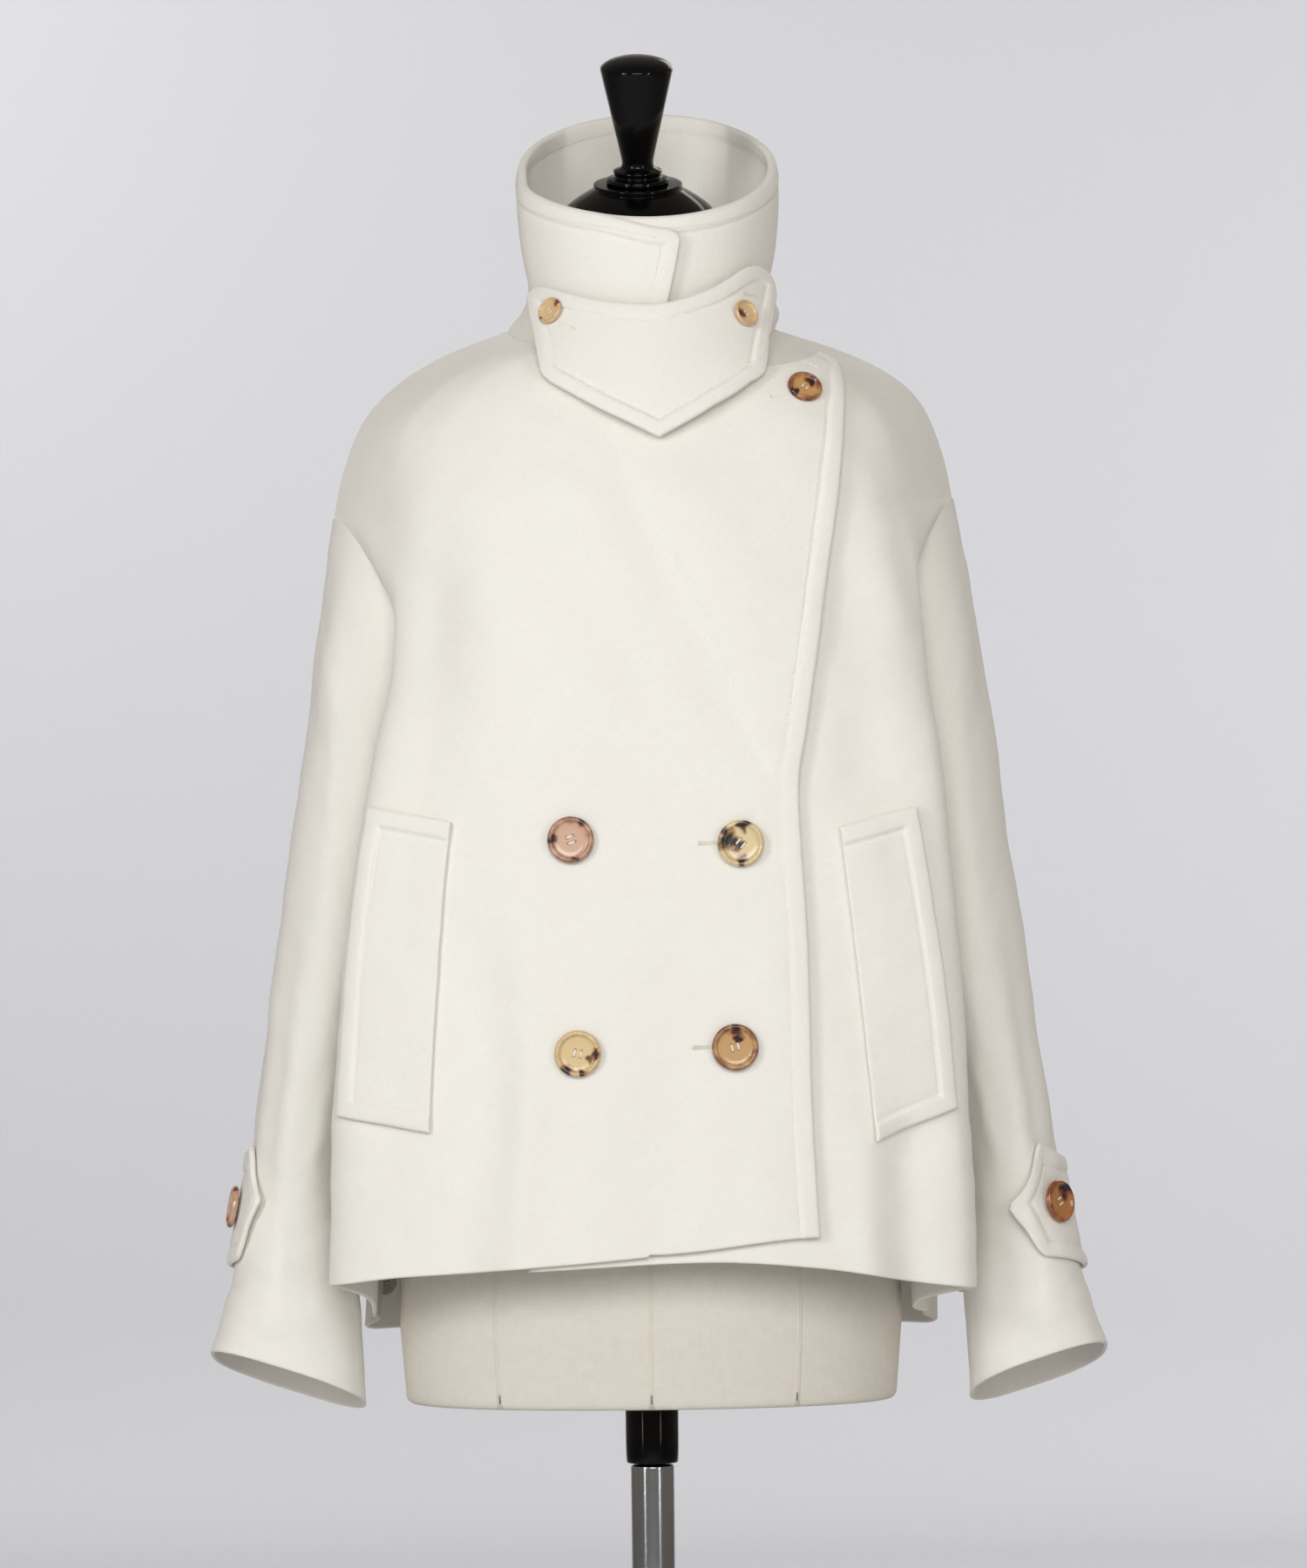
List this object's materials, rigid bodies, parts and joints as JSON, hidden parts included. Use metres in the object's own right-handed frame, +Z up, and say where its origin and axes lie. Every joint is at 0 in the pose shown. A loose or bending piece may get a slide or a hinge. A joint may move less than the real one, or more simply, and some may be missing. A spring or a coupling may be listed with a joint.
{
  "type": "double-breasted coat worn by a limbless dress form on a stand",
  "caption": "Short cream wool double-breasted coat with a tall stand collar, throat flap and tortoise buttons, worn by a limbless linen dress form on a pole stand.",
  "frame": {"origin": "middle of the underside of the stand base, on the floor", "axes": "+Z up, -Y is the front of the coat, +X is to the right seen from the front"},
  "size_m": [0.592, 0.38, 1.5319],
  "materials": {
    "wool": "brushed wool with a faint diagonal twill",
    "horn": "polished, tortoise-like patches",
    "clear_resin": "clear, polished",
    "linen": "plain-woven linen, stretched",
    "black_lacquer": "glossy black lacquer",
    "chrome": "mirror chrome",
    "black_base": "black powder coat"
  },
  "bodies": {
    "root": {"coat_front_over": "wool", "coat_front_under": "wool", "coat_back": "wool", "coat_top_sleeve_left": "wool", "coat_top_sleeve_right": "wool", "coat_under_sleeve_left": "wool", "coat_under_sleeve_right": "wool", "coat_collar": "wool", "coat_chin_flap": "wool", "coat_pocket_left": "wool", "coat_pocket_right": "wool", "coat_strap_left": "wool", "coat_strap_right": "wool", "button_main_1": "horn", "button_main_2": "horn", "button_main_3": "horn", "button_main_4": "horn", "button_lapel": "horn", "button_flap_left": "horn", "button_flap_right": "horn", "button_cuff_left_outer": "horn", "button_cuff_left_inner": "horn", "button_cuff_right_outer": "horn", "button_cuff_right_inner": "horn", "button_spare": "clear_resin", "form_torso": "linen", "form_neck_cap": "black_lacquer", "form_finial": "black_lacquer", "stand_socket": "black_lacquer", "stand_pole": "chrome", "stand_hub": "black_base", "stand_base": "black_base"}
  },
  "joints": []
}
